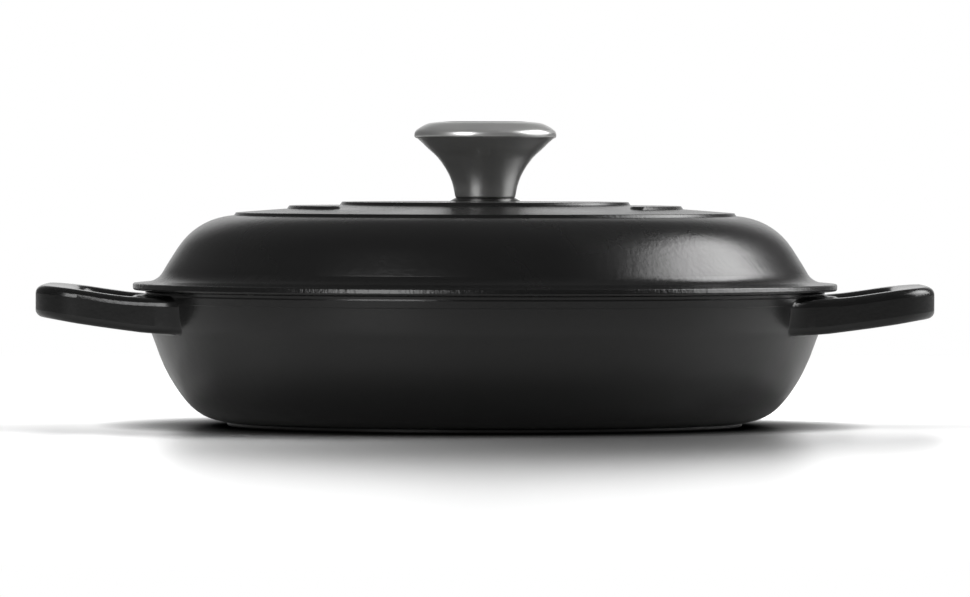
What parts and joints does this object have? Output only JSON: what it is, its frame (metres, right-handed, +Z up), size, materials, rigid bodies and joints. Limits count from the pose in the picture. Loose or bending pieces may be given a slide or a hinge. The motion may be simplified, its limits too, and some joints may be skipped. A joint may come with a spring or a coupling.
{
  "type": "braiser with lid",
  "caption": "Shallow round cast pan with two loop handles, a domed stepped lid and a steel knob, for stovetop and oven braising.",
  "frame": {"origin": "centre of the round face that the pan stands on", "axes": "+Z up through the knob, +X through the right handle, the front at -Y"},
  "size_m": [0.344, 0.2712, 0.1172],
  "materials": {
    "enamel": "satin black enamel on cast iron, slightly pebbled",
    "knob_steel": "fine satin stainless steel",
    "screw_steel": "plain turned stainless steel"
  },
  "bodies": {
    "pan": {"pan": "enamel"},
    "lid": {"lid": "enamel", "knob_flare": "knob_steel", "knob_cap": "knob_steel", "knob_bush": "knob_steel", "knob_screw": "screw_steel", "screw_washer": "screw_steel"}
  },
  "joints": [
    {"name": "lid_lift", "type": "slide", "parent": "pan", "child": "lid", "axis": [0, 0, 1], "range_m": [0, 0.15]}
  ]
}
